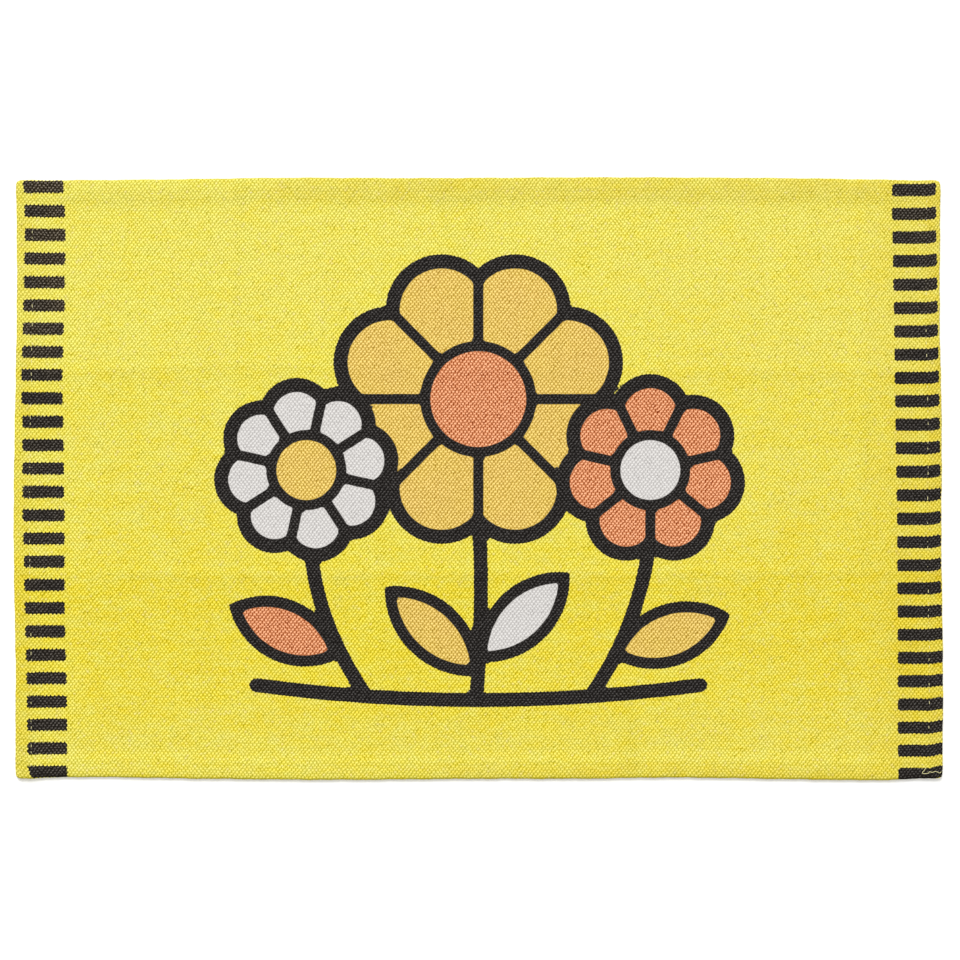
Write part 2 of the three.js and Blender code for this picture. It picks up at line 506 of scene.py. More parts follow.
def laid(x, y):
    """Where places on the flat cloth lie as seen from above."""
    x, y = round_corner(x, y)
    right = nearness(HALF_LENGTH - x) * out_by("right", y)
    left = nearness(HALF_LENGTH + x) * out_by("left", y)
    top = nearness(HALF_WIDTH - y) * out_by("top", x)
    bottom = nearness(HALF_WIDTH + y) * out_by("bottom", x)
    return x + right - left, y + top - bottom


print("upper right corner, mm:", np.round(laid(HALF_LENGTH, HALF_WIDTH), 1))

# %% [markdown]
# ## Shape the grid
# Now each point of the grid moves to its place. The rim goes round the fold of the hem. Under the
# rug, the turned layers lie on the floor, and inside them the underside keeps one thickness of
# canvas below the top. Moving points by hand would do for one corner. Arrays move all of them at
# once.

# %% Move the points
RIM = table(
    "at inset share",
    (0.0, 0.45, 0.78), (0.25, 0.1, 0.64), (0.5, 0.0, 0.5), (0.75, 0.12, 0.32), (1.0, 0.9, 0.0),
)
LEVEL_SLACK = 0.01


def on_line(place, lines):
    """Where the lines that these points belong to are to lie. The new grid runs from -1 to 1."""
    number = np.round((place + 1) / 2 * (len(lines) - 1)).astype(int)
    return lines[number]


grid_points = points_of(cloth)
# The sheet is still one unit thick, so its face has level 0 and its underside has level 1.
level = -grid_points[:, 2]
on_top = level < LEVEL_SLACK
underneath = level > 1 - LEVEL_SLACK
rim_inset = read(RIM, level, "inset")
line_x = on_line(grid_points[:, 0], x_lines)
line_y = on_line(grid_points[:, 1], y_lines)
flat_x = np.clip(line_x, rim_inset - HALF_LENGTH, HALF_LENGTH - rim_inset)
flat_y = np.clip(line_y, rim_inset - HALF_WIDTH, HALF_WIDTH - rim_inset)
inset = np.minimum(HALF_LENGTH - np.abs(flat_x), HALF_WIDTH - np.abs(flat_y))
in_hem = np.minimum(*hem_insets(flat_x, flat_y)) < HEM_WIDTH

full = top_height(flat_x, flat_y)
height = np.select(
    [on_top, underneath],
    [full * fold_share(inset), np.where(in_hem, 0, full - CANVAS)],
    full * read(RIM, level, "share"),
)
laid_x, laid_y = laid(flat_x, flat_y)
move_points(cloth, laid_x, laid_y, height)
print("cloth, mm:", np.round(np.ptp(points_of(cloth), axis=0) / MM, 1))

# %% [markdown]
# ## The print
# The rug is screen printed: bars along both ends and a picture in the middle, each ink through
# its own screen. An image would do, but a drawn distance is sharper. Each ink gets one number at
# every point of the cloth, its distance to that ink's edge, less than nothing inside. The
# material later cuts it at zero, so an edge stays crisp between the grid's points.
#
# The bars were printed before the hem was sewn, and the hem pulled them about. An array of equal
# bars would look too neat. So each end has a table of where its bars start and stop, how far they
# have dropped, and how far their outer ends are pulled up.

# %% The bars at both ends
BARS = 26
BAR_THICKNESS = 12.2
LIFT_START = HALF_LENGTH - 16.0
LIFT_END = HALF_LENGTH - 3.0
LEFT_BARS = {"side": -1, "first": 292.0, "last": -292.3, "rows": table(
    "at outer inner drop lift",
    (-298, 446.4, 410.2, 0.0, 3.2),
    (-286, 450.2, 410.8, 0.0, 3.2),
    (-262, 450.1, 411.0, 0.0, 0.5),
    (-225, 450.6, 411.3, 0.3, 0.4),
    (-130, 452.8, 413.4, 0.2, 0.4),
    (-36, 455.0, 413.7, 1.0, 0.4),
    (57, 455.6, 415.0, 1.0, 0.4),
    (104, 456.6, 416.0, 0.8, 0.4),
    (173, 454.4, 413.6, 1.9, 0.4),
    (245, 453.1, 412.7, 1.4, 0.4),
    (286, 453.3, 413.9, 0.2, 0.4),
    (298, 455.0, 414.3, 0.0, 0.4),
)}
RIGHT_BARS = {"side": 1, "first": 289.0, "last": -294.3, "rows": table(
    "at outer inner drop lift",
    (-294, 465.5, 419.4, 0.0, 3.2),
    (-248, 466.0, 419.5, 1.1, 1.9),
    (-200, 466.0, 419.6, 1.1, 1.5),
    (-110, 462.4, 418.9, 1.6, 1.4),
    (-63, 462.2, 418.7, 2.3, 2.0),
    (-16, 462.2, 418.4, 1.9, 1.5),
    (78, 460.6, 416.7, 1.1, 1.5),
    (171, 458.9, 415.5, 1.6, 2.3),
    (289, 456.8, 413.2, 0.3, 2.5),
)}

for bars in (LEFT_BARS, RIGHT_BARS):
    print("bars every", round((bars["first"] - bars["last"]) / (BARS - 1), 2), "mm")

# %% [markdown]
# A bar is a box in the plane, so two distances describe it: one past its ends and one past its
# long sides. They are kept apart, because the material rounds the corners between them.


# %% Distances to the bars
def hem_lift(x, y, bars):
    """How far up the rug the hem pulls the yarns and the print at the bars' outer ends."""
    reach = np.clip((bars["side"] * x - LIFT_START) / (LIFT_END - LIFT_START), 0, 1)
    return eased(bars["rows"], y, "lift") * reach ** 2


def bar_distances(x, y, bars):
    """Distance past the nearest bar's end, and past its side, each less than nothing inside."""
    rows = bars["rows"]
    level_y = y - hem_lift(x, y, bars) + eased(rows, y, "drop")
    pitch = (bars["first"] - bars["last"]) / (BARS - 1)
    number = np.clip(np.round((bars["first"] - level_y) / pitch), 0, BARS - 1)
    past_side = np.abs(level_y - bars["first"] + pitch * number) - BAR_THICKNESS / 2
    outer = read(rows, y, "outer")
    inner = read(rows, y, "inner")
    past_end = np.abs(bars["side"] * x - (outer + inner) / 2) - (outer - inner) / 2
    return past_end, past_side


left, right = (bar_distances(laid_x, laid_y, bars) for bars in (LEFT_BARS, RIGHT_BARS))
bar_end, bar_side = np.where(laid_x < 0, left, right)
barred = float((np.maximum(bar_end, bar_side)[on_top] < 0).mean())
print("bars cover", round(100 * barred, 1), "per cent of the points")

# %% [markdown]
# The picture is three flowers with stems and leaves. They could be curves filled with colour. A
# formula for each distance is shorter, and it answers at every point of the cloth. A flower is
# one slice turned round its middle, so its distance is worked out in the slice that a point
# falls in.

# %% The shape of a flower
OUTLINE = 14.0
INNER_LINE = 10.0


def disc(x, y, at, radius):
    """Distance to the edge of a disc."""
    return np.hypot(x - at[0], y - at[1]) - radius


def in_slice(x, y, flower):
    """A point's distance from a flower's middle, and its angle from the nearest petal's axis."""
    from_x = x - flower["at"][0]
    from_y = y - flower["at"][1]
    slice_angle = 2 * np.pi / flower["petals"]
    turned = np.arctan2(from_y, from_x) - math.radians(flower["turn"])
    angle = (turned + slice_angle / 2) % slice_angle - slice_angle / 2
    return np.hypot(from_x, from_y), angle


def petal_distance(x, y, flower):
    """Distance to the outer edge of a flower's petals."""
    radius, angle = in_slice(x, y, flower)
    outward = radius * np.cos(angle) - flower["reach"]
    sideways = radius * np.sin(angle)
    petals = np.hypot(outward, sideways) - flower["petal_radius"]
    return np.minimum(petals, radius - flower["reach"])


def petal_fill(x, y, flower):
    """Distance to the coloured part of the petals, inside the lines that part them."""
    radius, angle = in_slice(x, y, flower)
    to_neighbour = radius * np.sin(np.pi / flower["petals"] - np.abs(angle))
    between = INNER_LINE / 2 - to_neighbour
    round_eye = flower["eye"] + INNER_LINE - radius
    return np.maximum(np.maximum(petal_distance(x, y, flower), between), round_eye)


print("lines, mm:", OUTLINE, "round a flower and", INNER_LINE, "between its petals")

# %% [markdown]
# A stem is a thick line that bends on its way, so its distance is the one to the nearest of a
# few short straight pieces. A leaf is where two discs overlap, which gives it its two points.

# %% The shapes of a stem and a leaf
LINE_THICKNESS = 14.0
LINE_STEPS = 12


def line_distance(x, y, start, bend, end):
    """Distance to the edge of a thick line from start to end, drawn towards the bend point."""
    t = np.linspace(0, 1, LINE_STEPS + 1)[:, None]
    start, bend, end = np.array([start, bend, end])
    points = (1 - t) ** 2 * start + 2 * t * (1 - t) * bend + t ** 2 * end
    nearest = np.full_like(x, np.inf)
    for (near_x, near_y), (run_x, run_y) in zip(points, np.diff(points, axis=0)):
        share = ((x - near_x) * run_x + (y - near_y) * run_y) / (run_x ** 2 + run_y ** 2)
        share = np.clip(share, 0, 1)
        gap = np.hypot(x - near_x - share * run_x, y - near_y - share * run_y)
        nearest = np.minimum(nearest, gap)
    return nearest - LINE_THICKNESS / 2


def leaf_distance(x, y, leaf):
    """Distance to the edge of a leaf from its base to its tip."""
    base, tip = np.array([leaf["base"], leaf["tip"]])
    half = math.dist(base, tip) / 2
    radius = (half ** 2 + leaf["half_width"] ** 2) / (2 * leaf["half_width"])
    run_x, run_y = (tip - base) / (2 * half)
    aside = np.array([run_y, -run_x]) * (radius - leaf["half_width"])
    middle = (base + tip) / 2
    return np.maximum(disc(x, y, middle + aside, radius), disc(x, y, middle - aside, radius))


print("stems, mm:", LINE_THICKNESS, "thick, in", LINE_STEPS, "straight pieces")

# %% [markdown]
# The picture has a ground line, three flowers on stems and four leaves. Their sizes could stand in
# the calls that draw them, but in a table one number moves a flower or gives it one more petal.

# %% The flowers and leaves
GROUND = [(-222, -206), (0, -236), (222, -206)]
FLOWERS = table(
    "at petals turn reach petal_radius eye petal_ink eye_ink stem",
    ((0, 80), 8, 22.5, 96, 42, 48, "amber", "coral", [(0, -30), (6, -120), (-2, -221)]),
    ((-172, 9), 8, 10, 55, 24, 30, "white", "amber", [(-168, -60), (-165, -140), (-112, -217)]),
    ((172, 9), 7, 90, 55, 27, 30, "coral", "white", [(172, -60), (160, -150), (112, -217)]),
)
LEAVES = table(
    "base tip half_width ink",
    ((-8, -186), (-82, -118), 19, "amber"),
    ((9, -172), (80, -104), 19, "white"),
    ((-150, -172), (-236, -132), 20, "coral"),
    ((146, -172), (238, -140), 20, "amber"),
)
print("flowers:", len(FLOWERS), "leaves:", len(LEAVES))

# %% [markdown]
# The picture is laid black first, as one shape under all of it, and then each colour over the
# black. A printer would lay the black last, with gaps for the colours. Here a covered ink leaves
# no trace, and this way round the black lines are simply where no colour lies.

# %% Draw the picture
LEAF_OUTLINE = 11.2
OVER_BLACK = ("amber", "coral", "white")
NO_INK = 99.0


def draw_picture(x, y):
    """For each ink, the distance to its edge. A later shape hides what it lies over."""
    inks = {name: np.full_like(x, NO_INK) for name in ("black", *OVER_BLACK)}

    def lay_black(distance):
        inks["black"] = np.minimum(inks["black"], distance)
        for name in OVER_BLACK:
            inks[name] = np.maximum(inks[name], -distance)

    def lay(name, distance):
        inks[name] = np.minimum(inks[name], distance)

    lay_black(line_distance(x, y, *GROUND))
    for flower in FLOWERS:
        lay_black(line_distance(x, y, *flower["stem"]))
    for flower in FLOWERS:
        lay_black(petal_distance(x, y, flower) - OUTLINE)
        lay(flower["petal_ink"], petal_fill(x, y, flower))
        lay(flower["eye_ink"], disc(x, y, flower["at"], flower["eye"]))
    for leaf in LEAVES:
        shape = leaf_distance(x, y, leaf)
        lay_black(shape - LEAF_OUTLINE)
        lay(leaf["ink"], shape)
    return inks


inks = draw_picture(laid_x, laid_y)
covered = {name: round(float((distance < 0).mean()), 3) for name, distance in inks.items()}
print("share of the points inside each ink:", covered)

# %% [markdown]
# The parcel's folds turn the cloth away from the lamp, and their darkening is painted shade. Below
# each fold along the rug, and on each fold across it, the colour is painted darker. So are a thin
# line at the lower seam and the lower edge, which rolls away from the light. The shade could be
# painted on a picture. Worked out from the lines of the ridges, it never leaves its ridges when a
# line is changed.

# %% Painted shade of the folds, the lower seam and the lower edge
FOLD_EDGE = 6.0
FOLD_FADE = 55.0
FOLD_EASE = 10.0
# Painted shade: a dark line along the groove of the lower seam, and a dark band along the lower
# edge, which turns away from the lamp.
SEAM_SHADE = 0.06
SEAM_SHADE_INSET = SEAM_INSET["bottom"] + 1.0
LOWER_EDGE_SHADE = {"mark": 0.9, "reach": 1.3}


def fold_shade(x, y):
    """How much painted shade darkens the cloth beside the old folds, and at the lower seam and
    edge.
    """
    shade = np.zeros_like(x)
    # Painted shade below each fold along the rug, and on each fold across it.
    for ridge in RIDGES:
        at, short = beside(ridge, x, y)
        if ridge["runs"] == "x":
            mark = np.clip(short / FOLD_EDGE, 0, 1) * np.exp(-np.clip(short, 0, None) / FOLD_FADE)
        else:
            mark = np.exp(-(short / FOLD_EDGE) ** 2)
        shade += ridge["step"] * eased(ridge["line"], at, "share", FOLD_EASE) * mark
    # Painted shade along the lower edge and along the lower seam.
    from_edge = HALF_WIDTH + y
    shade += LOWER_EDGE_SHADE["mark"] * np.exp(-from_edge / LOWER_EDGE_SHADE["reach"])
    from_seam = (from_edge - SEAM_SHADE_INSET) / SEAM_REACH
    return shade + SEAM_SHADE * np.exp(-from_seam ** 2)


darkened = fold_shade(flat_x, flat_y)
print("darkest mark:", round(float(darkened[on_top].max()), 2))

# %% [markdown]
# The hems have a warmer tone than the middle, mainly at the right end, where a wider band of it
# fades out inwards. A second colour could be painted there. A share from 0 to 1 lets the material
# mix it in softly, so a table says how deep the tone reaches from each side and how strong it is
# along it.

# %% The tone of the hems
TINTED_HEMS = table(
    "side deep fade along",
    ("top", 10, 18, table("at tint", (-240, 0.0), (-170, 0.5))),
    ("bottom", 7, 9, table("at tint", (-120, 0.1), (60, 0.45))),
    ("left", 12, 8, table("at tint", (-200, 0.5), (0, 0.4))),
    ("right", 13, 8, table("at tint", (0, 0.8), (200, 0.7))),
    ("right", 40, 40, table("at tint", (0, 0.5), (200, 0.4))),
)


def hem_tint(x, y):
    """How much of the warmer tone of the hems a place has."""
    inset = {
        "top": HALF_WIDTH - y, "bottom": HALF_WIDTH + y,
        "left": HALF_LENGTH + x, "right": HALF_LENGTH - x,
    }
    tint = np.zeros_like(x)
    for hem in TINTED_HEMS:
        share = np.clip(1 - (inset[hem["side"]] - hem["deep"]) / hem["fade"], 0, 1)
        at = x if hem["side"] in ("top", "bottom") else y
        tint = np.maximum(tint, share * read(hem["along"], at, "tint"))
    return tint


tinted = hem_tint(flat_x, flat_y)
print("tinted:", round(100 * float((tinted[on_top] > 0).mean()), 1), "per cent of the points")

# %% [markdown]
# Ink distances, the painted shade of the folds, the hems' tone and wear are kept on the cloth's
# points as attributes, next to each point's place on the flat cloth, which the weave reads so that
# it bends with the cloth. A painted image could hold them, but attributes need no picture and
# can't slip.

# %% Keep the print on the cloth
INK_REACH = 12.0
WEAR = table(
    "at wear", (-463, 1.0), (-400, 1.0), (-300, 0.0), (300, 0.0), (400, 0.35), (463, 0.45),
)


def keep(piece, name, values, kind="FLOAT"):
    """Stores a value for each point of a piece, where its material can read it."""
    layer = piece.data.attributes.new(name, kind, "POINT")
    layer.data.foreach_set("vector" if kind == "FLOAT_VECTOR" else "value", values.ravel())


def keep_ink(name, distance):
    """Stores an ink's distance, with none of that ink on the underside."""
    keep(cloth, name, np.where(underneath, INK_REACH, np.clip(distance, -INK_REACH, INK_REACH)))


woven_y = flat_y - hem_lift(flat_x, flat_y, LEFT_BARS) - hem_lift(flat_x, flat_y, RIGHT_BARS)
keep(cloth, "woven", np.stack([flat_x, woven_y, level], axis=1), kind="FLOAT_VECTOR")
keep(cloth, "printed", np.where(underneath & ~in_hem, 0.0, 1.0))
keep(cloth, "wear", read(WEAR, laid_x, "wear"))
# The painted shade of the folds, the lower seam and the lower edge.
keep(cloth, "fold_shade", darkened)
keep(cloth, "hem_tint", tinted)
keep_ink("bar_end", bar_end)
keep_ink("bar_side", bar_side)
for name, distance in inks.items():
    keep_ink(name + "_ink", distance)
kept = [layer.name for layer in cloth.data.attributes if layer.domain == "POINT"]
print("kept on the cloth's points:", kept)

# %% [markdown]
# ## A map for the finished texture
# When the rug is exported, its pattern is drawn on a square picture. An unwrap by operator would
# share the square evenly between top and underside. This map gives nearly all of it to the
# printed face, so that the weave stays sharp. The rim is unrolled round the face, and the
# underside, which is plain, gets a strip.

# %% Lay out the map
FACE_SHARE = 0.9
MAP_MARGIN = 0.004
RIM_SPAN = 5.0
RIM_ZONE = 1.0

corners = read_all(cloth.data.loops, "vertex_index", kind=int)
starts = read_all(cloth.data.polygons, "loop_start", kind=int)
sides = np.diff(np.append(starts, len(corners)))
lowest_level = np.minimum.reduceat(level[corners], starts)
under_corner = np.repeat(lowest_level > 1 - LEVEL_SLACK, sides)


def spread(flat, half):
    """A place across the map, from 0 to 1, for each face corner. The rim is unrolled beyond the
    face's edge, and the underside takes the whole width."""
    at_edge = np.abs(flat) > half - RIM_ZONE
    out = np.where(at_edge, np.sign(flat) * (half + RIM_SPAN * level), flat) / (half + RIM_SPAN)
    return (np.where(under_corner, (flat / half)[corners], out[corners]) + 1) / 2


across = MAP_MARGIN + (1 - 2 * MAP_MARGIN) * spread(flat_x, HALF_LENGTH)
upward = spread(flat_y, HALF_WIDTH)
face_v = 1 - FACE_SHARE + MAP_MARGIN + (FACE_SHARE - 2 * MAP_MARGIN) * upward
strip_v = MAP_MARGIN + (1 - FACE_SHARE - 2 * MAP_MARGIN) * upward
bake_map = cloth.data.uv_layers.new(name="OFBake")
map_points = np.stack([across, np.where(under_corner, strip_v, face_v)], axis=1)
bake_map.data.foreach_set("uv", map_points.ravel())
print("map:", round(FACE_SHARE * 100), "per cent for the printed face")

# %% [markdown]
# Smooth shading rounds the hems and the ridges. Flat faces would show the grid. Turns sharper
# than the angle stay sharp.

# %% Smooth the cloth
SMOOTH_ANGLE = math.radians(50)


def select_only(*pieces):
    """Selects these pieces and nothing else. The last one is active."""
    deselect_all()
    for piece in pieces:
        piece.select_set(True)
        bpy.context.view_layer.objects.active = piece


select_only(cloth)
bpy.ops.object.shade_smooth_by_angle(angle=SMOOTH_ANGLE)
print("cloth smoothed up to", round(math.degrees(SMOOTH_ANGLE)), "degrees")

# %% [markdown]
# ## The seam
# One line of lockstitch holds each hem down. It shows as a row of short stitches that dip
# between the yarns at both ends. A long tube with a wavy path would do, but it would show between
# the stitches. So one stitch is a thin tube, an array repeats it to the length of the hem, and
# the row is laid along the seam. The tube is built with one unit for each millimetre, and laying
# it turns it into metres.

# %% One stitch
THREAD_RADIUS = 0.27
THREAD_SIDES = 6


def new_tube(name, length, cuts):
    """A thin tube that stands on the origin, with this many rings between its ends."""
    deselect_all()
    bpy.ops.mesh.primitive_cylinder_add(
        vertices=THREAD_SIDES, radius=THREAD_RADIUS, depth=length, location=(0, 0, length / 2),
    )
    tube = bpy.context.active_object
    tube.name = name
    bpy.ops.object.transform_apply(location=True, rotation=False, scale=False)
    cut_upright_edges(tube, length / 2, cuts)
    return tube


print("thread, mm:", 2 * THREAD_RADIUS, "thick")

# %% [markdown]
# A hem's row has as many stitches as fit between its corners. They could be set one by one, but
# an array repeats the tube at the stitch's pitch, standing upright on the origin for now.

# %% Repeat the stitch
STITCH_PITCH = 6.2
STITCH_LENGTH = 5.2
STITCH_CUTS = 3
ROW_MARGIN = 9.0


def upright_row(side, half_run):
    """A row of stitches for one side of the rug, still upright, and their number."""
    count = int(2 * half_run / STITCH_PITCH)
    row = new_tube("stitches_" + side, STITCH_LENGTH, STITCH_CUTS)
    apply_modifier(
        row, "ARRAY", count=count, use_relative_offset=False, use_constant_offset=True,
        constant_offset_displace=(0, 0, STITCH_PITCH),
    )
    return row, count


print("stitches to the decimetre:", round(100 / STITCH_PITCH, 1))

# %% [markdown]
# No two stitches of a real seam lie alike. They could be moved by hand, but there are about 480
# of them, so each is lifted and slanted a little by chance. The seed keeps the chances the same
# at each run. A half wave lifts the middle of each stitch and sinks its ends in the cloth.

# %% Lay the rows along the seams
STITCH_RISE = 0.62
STITCH_SINK = {"left": 0.78, "right": 0.78, "bottom": 0.94, "top": 0.98}
STITCH_CHANCE = 0.36
STITCH_SLANT = 0.45
START_SLACK = 0.3
STITCH_SEED = 14
chance = np.random.default_rng(STITCH_SEED)


def stitch_row(side):
    """A row of stitches laid along the seam of one side of the rug."""
    at_end = side in ("left", "right")
    row, count = upright_row(side, (HALF_WIDTH if at_end else HALF_LENGTH) - ROW_MARGIN)
    points = points_of(row)
    stitch = np.clip((points[:, 2] + START_SLACK) // STITCH_PITCH, 0, count - 1).astype(int)
    share = (points[:, 2] - stitch * STITCH_PITCH) / STITCH_LENGTH
    lift = chance.uniform(-STITCH_CHANCE, STITCH_CHANCE, count)[stitch]
    slant = chance.uniform(-STITCH_SLANT, STITCH_SLANT, count)[stitch]
    along = points[:, 2] - count * STITCH_PITCH / 2
    seam = (HALF_LENGTH if at_end else HALF_WIDTH) - SEAM_INSET[side]
    away = points[:, 0] + slant * (share - 0.5) + (seam if side in ("right", "top") else -seam)
    row_x, row_y = (away, along) if at_end else (along, away)
    rise = STITCH_RISE * np.sin(np.pi * np.clip(share, 0, 1)) - STITCH_SINK[side] + lift
    row_z = top_height(row_x, row_y) + rise + points[:, 1]
    move_points(row, *laid(row_x, row_y), row_z)
    return row


rows_of_stitches = [stitch_row(side) for side in ("left", "right", "bottom", "top")]
print("stitch rows:", [(row.name, len(row.data.polygons)) for row in rows_of_stitches])

# %% [markdown]
# Where the sewing ended, at the lower right corner, a short end of thread was left. It lies on
# the hem in a loose hook. A curve with a bevel would do, but the same tube laid along a path
# keeps the thickness of the stitches.

# %% The path of the loose end
LOOSE_END = table(
    "x y over",
    (447.4, -287.3, -0.3), (445.6, -290.2, 0.3), (443.4, -293.0, 0.4), (444.5, -294.1, 0.4),
    (447.3, -293.8, 0.35), (449.3, -293.7, 0.35), (450.5, -292.1, 0.35), (453.2, -292.8, 0.3),
    (455.7, -291.8, 0.3), (458.2, -292.3, 0.3), (460.4, -293.3, 0.25), (462.3, -292.1, -0.2),
)


def along_path(path, share):
    """A smooth curve through the path's rows: its points, and its direction at each."""
    rows = np.array([list(row.values()) for row in path])
    place = share * (len(rows) - 1)
    first = np.clip(np.floor(place).astype(int), 0, len(rows) - 2)
    t = (place - first)[:, None]
    neighbours = [np.clip(first + number, 0, len(rows) - 1) for number in (-1, 0, 1, 2)]
    before, start, end, after = rows[neighbours]
    pull = (end - before) / 2
    push = (after - start) / 2
    cube = 2 * start - 2 * end + pull + push
    square = 3 * end - 3 * start - 2 * pull - push
    points = start + pull * t + square * t ** 2 + cube * t ** 3
    heading = pull + 2 * square * t + 3 * cube * t ** 2
    return points, heading / np.linalg.norm(heading[:, :2], axis=1)[:, None]


rows_apart = np.diff([list(row.values()) for row in LOOSE_END], axis=0)
print("loose end, mm:", round(float(np.linalg.norm(rows_apart, axis=1).sum()), 1))

# %% [markdown]
# The new tube is one unit long, so the height of each of its points is that point's share of the
# path. It is laid along the path, on top of the hem, and joined with the rows of stitches to one
# piece. Rows and end could stay apart, but on the rug they are one thread.

# %% Lay the loose end and join the thread
LOOSE_CUTS = 48
THREAD_ANGLE = math.radians(70)

loose = new_tube("loose_thread", length=1.0, cuts=LOOSE_CUTS)
tube_points = points_of(loose)
middle, heading = along_path(LOOSE_END, tube_points[:, 2])
loose_x = middle[:, 0] - heading[:, 1] * tube_points[:, 0]
loose_y = middle[:, 1] + heading[:, 0] * tube_points[:, 0]
loose_z = top_height(middle[:, 0], middle[:, 1]) + middle[:, 2] - tube_points[:, 1]
move_points(loose, loose_x, loose_y, loose_z)

select_only(*rows_of_stitches, loose)
bpy.ops.object.join()
thread = bpy.context.active_object
thread.name = "sewing_thread"
bpy.ops.object.mode_set(mode="EDIT")
bpy.ops.mesh.select_all(action="SELECT")
bpy.ops.mesh.normals_make_consistent(inside=False)
bpy.ops.object.mode_set(mode="OBJECT")
bpy.ops.object.shade_smooth_by_angle(angle=THREAD_ANGLE)
print("thread faces:", len(thread.data.polygons))

# %% [markdown]
# ## Node sums
# A material's pattern is arithmetic on places. Math nodes do it one step at a time, and a page
# of them is hard to read. This small class makes a Math node of each plus, minus and times, so
# that the patterns below read as sums and still become ordinary nodes.


# %% Numbers that vary over the cloth
class Field:
    """What a node puts out, which can be added, taken away and multiplied like a number."""

    def __init__(self, made, name=0):
        self.socket = made.outputs[name]
        self.tree = made.id_data

    def maths(self, operation, *others):
        return step(self.tree, "Math", operation, self, *others)

    def __add__(self, other):
        return self.maths("ADD", other)

    def __sub__(self, other):
        return self.maths("SUBTRACT", other)

    def __mul__(self, other):
        return self.maths("MULTIPLY", other)

    def between(self, low, high):
        """Low where this is nothing, and high where it is one."""
        return self * (high - low) + low

    def ramp(self, low, high, smooth=True):
        """Nothing at low and one at high, with soft ends if smooth is set."""
        made = node(self.tree, "MapRange", Value=self, From_Min=low, From_Max=high)
        made.interpolation_type = "SMOOTHSTEP" if smooth else "LINEAR"
        return Field(made)


print("a field also knows:", [name for name in vars(Field) if "__" not in name])

# %% [markdown]
# An input takes a number, a colour, or what another node puts out. Sockets could be linked by
# hand in each cell. One helper feeds an input with any of the three, and two more make a node with
# its inputs fed, so that each later line reads as one step.


# %% Nodes and their inputs
def feed(value, socket):
    """Gives a socket a number, a colour, or what another node puts out."""
    if isinstance(value, Field):
        value.tree.links.new(value.socket, socket)
    else:
        socket.default_value = value


def node(tree, kind, settings=(), **inputs):
    """A new node with these settings, and its named inputs fed. Spaces are underscores."""
    made = tree.nodes.new("ShaderNode" + kind)
    for name, value in dict(settings).items():
        setattr(made, name, value)
    for name, value in inputs.items():
        feed(value, made.inputs[name.replace("_", " ")])
    return made


def step(tree, kind, operation, *values, **inputs):
    """One step of arithmetic, on numbers or on places."""
    made = node(tree, kind, {"operation": operation}, **inputs)
    for socket, value in zip(made.inputs, values):
        feed(value, socket)
    return Field(made)


node_kinds = [name for name in dir(bpy.types) if name.startswith("ShaderNode")]
print("kinds of shader node to choose from:", len(node_kinds))

# %% [markdown]
# Clouds, spots and grain are all noise, and they differ in size and strength. Two short helpers
# say that in millimetres. A third starts a node group, a box of nodes with named inputs and
# outputs that can be placed many times.


# %% Noise and groups
def noise(place, size, detail=2.0, roughness=0.5):
    """A noise texture whose lumps are about this many millimetres across."""
    numbers = {"Scale": 1 / size, "Detail": detail, "Roughness": roughness}
    return node(place.tree, "TexNoise", Vector=place, **numbers)


def cloud(place, size, far, detail=2.0, roughness=0.5):
    """A noise that swings about nothing, by this much at the most."""
    return (Field(noise(place, size, detail, roughness), "Fac") - 0.5) * (2 * far)


def new_group(name, takes, gives):
    """An empty node group, with its input and output nodes."""
    group = bpy.data.node_groups.new(name, "ShaderNodeTree")
    for in_out, sockets in (("INPUT", takes), ("OUTPUT", gives)):
        for label, kind in sockets.items():
            group.interface.new_socket(label, in_out=in_out, socket_type="NodeSocket" + kind)
    return group, group.nodes.new("NodeGroupInput"), group.nodes.new("NodeGroupOutput")


print("node groups so far:", len(bpy.data.node_groups))

# %% [markdown]
# ## The weave
# In plain weave each yarn goes over one and under the next, so the yarns that come up to the
# face stand in staggered rows. Half the sum and half the difference of a place's warp and weft
# counts make a slanted grid, with one such crossing in each of its squares. Rounding a place to
# that grid names its crossing, and two cosines raise a bump there, one more than the other,
# because spun yarn leans. Two weaker ones round it off: a ridge along each pick of weft, and a
# narrow dip along each warp end. A picture of cloth would repeat its crossings. This never does.
# First come its numbers and three helpers.

# %% Helpers for the weave
SLOW_SWAY = {"size": 60.0, "span": 3.0}
QUICK_SWAY = {"size": 9.0, "span": 1.5}
NOISE_MEAN = (0.5, 0.5, 0.5)
LEAN = 0.58
LEAN_PATCHES = {"size": 11.0, "far": 0.4, "detail": 1.0}
CROSSING_JITTER = 0.2
PICK_SHARE = 0.125
END_SHARE = 0.14
YARN_SIZES = (0.95, 1.05)
END_SEED = 3.0
PICK_SEED = 7.0

weave, taken, given = new_group(
    "canvas_weave",
    takes={"Place": "Vector"},
    gives={"Height": "Float", "Crossing": "Color", "Yarn Tone": "Float"},
)


def swayed(place, sway):
    """A place moved sideways by a noise, as yarns are never quite straight."""
    lumps = Field(noise(place, sway["size"], detail=1.0), "Color")
    centred = step(weave, "VectorMath", "SUBTRACT", lumps, NOISE_MEAN)
    moved_by = step(weave, "VectorMath", "SCALE", centred, Scale=sway["span"])
    return step(weave, "VectorMath", "ADD", place, moved_by)


def random_at(x, y, seed=0.0):
    """A white noise node that gives each whole-number place its own random values."""
    place = Field(node(weave, "CombineXYZ", X=x, Y=y, Z=seed))
    return node(weave, "TexWhiteNoise", Vector=place)


def cosine(turns):
    """One at whole numbers, and minus one halfway between them."""
    return (turns * (2 * math.pi)).maths("COSINE")


print("yarns sway over", SLOW_SWAY["span"] + QUICK_SWAY["span"], "mm at the most")

# %% [markdown]
# With these helpers the weave is a short sum. Its group puts out the height of the cloth, a
# colour that holds three chances for each crossing, and a tone that comes half from the warp end
# and half from the weft pick, so that whole yarns stand out faintly. It could be written out in
# the canvas material, but as a group it can be placed again.

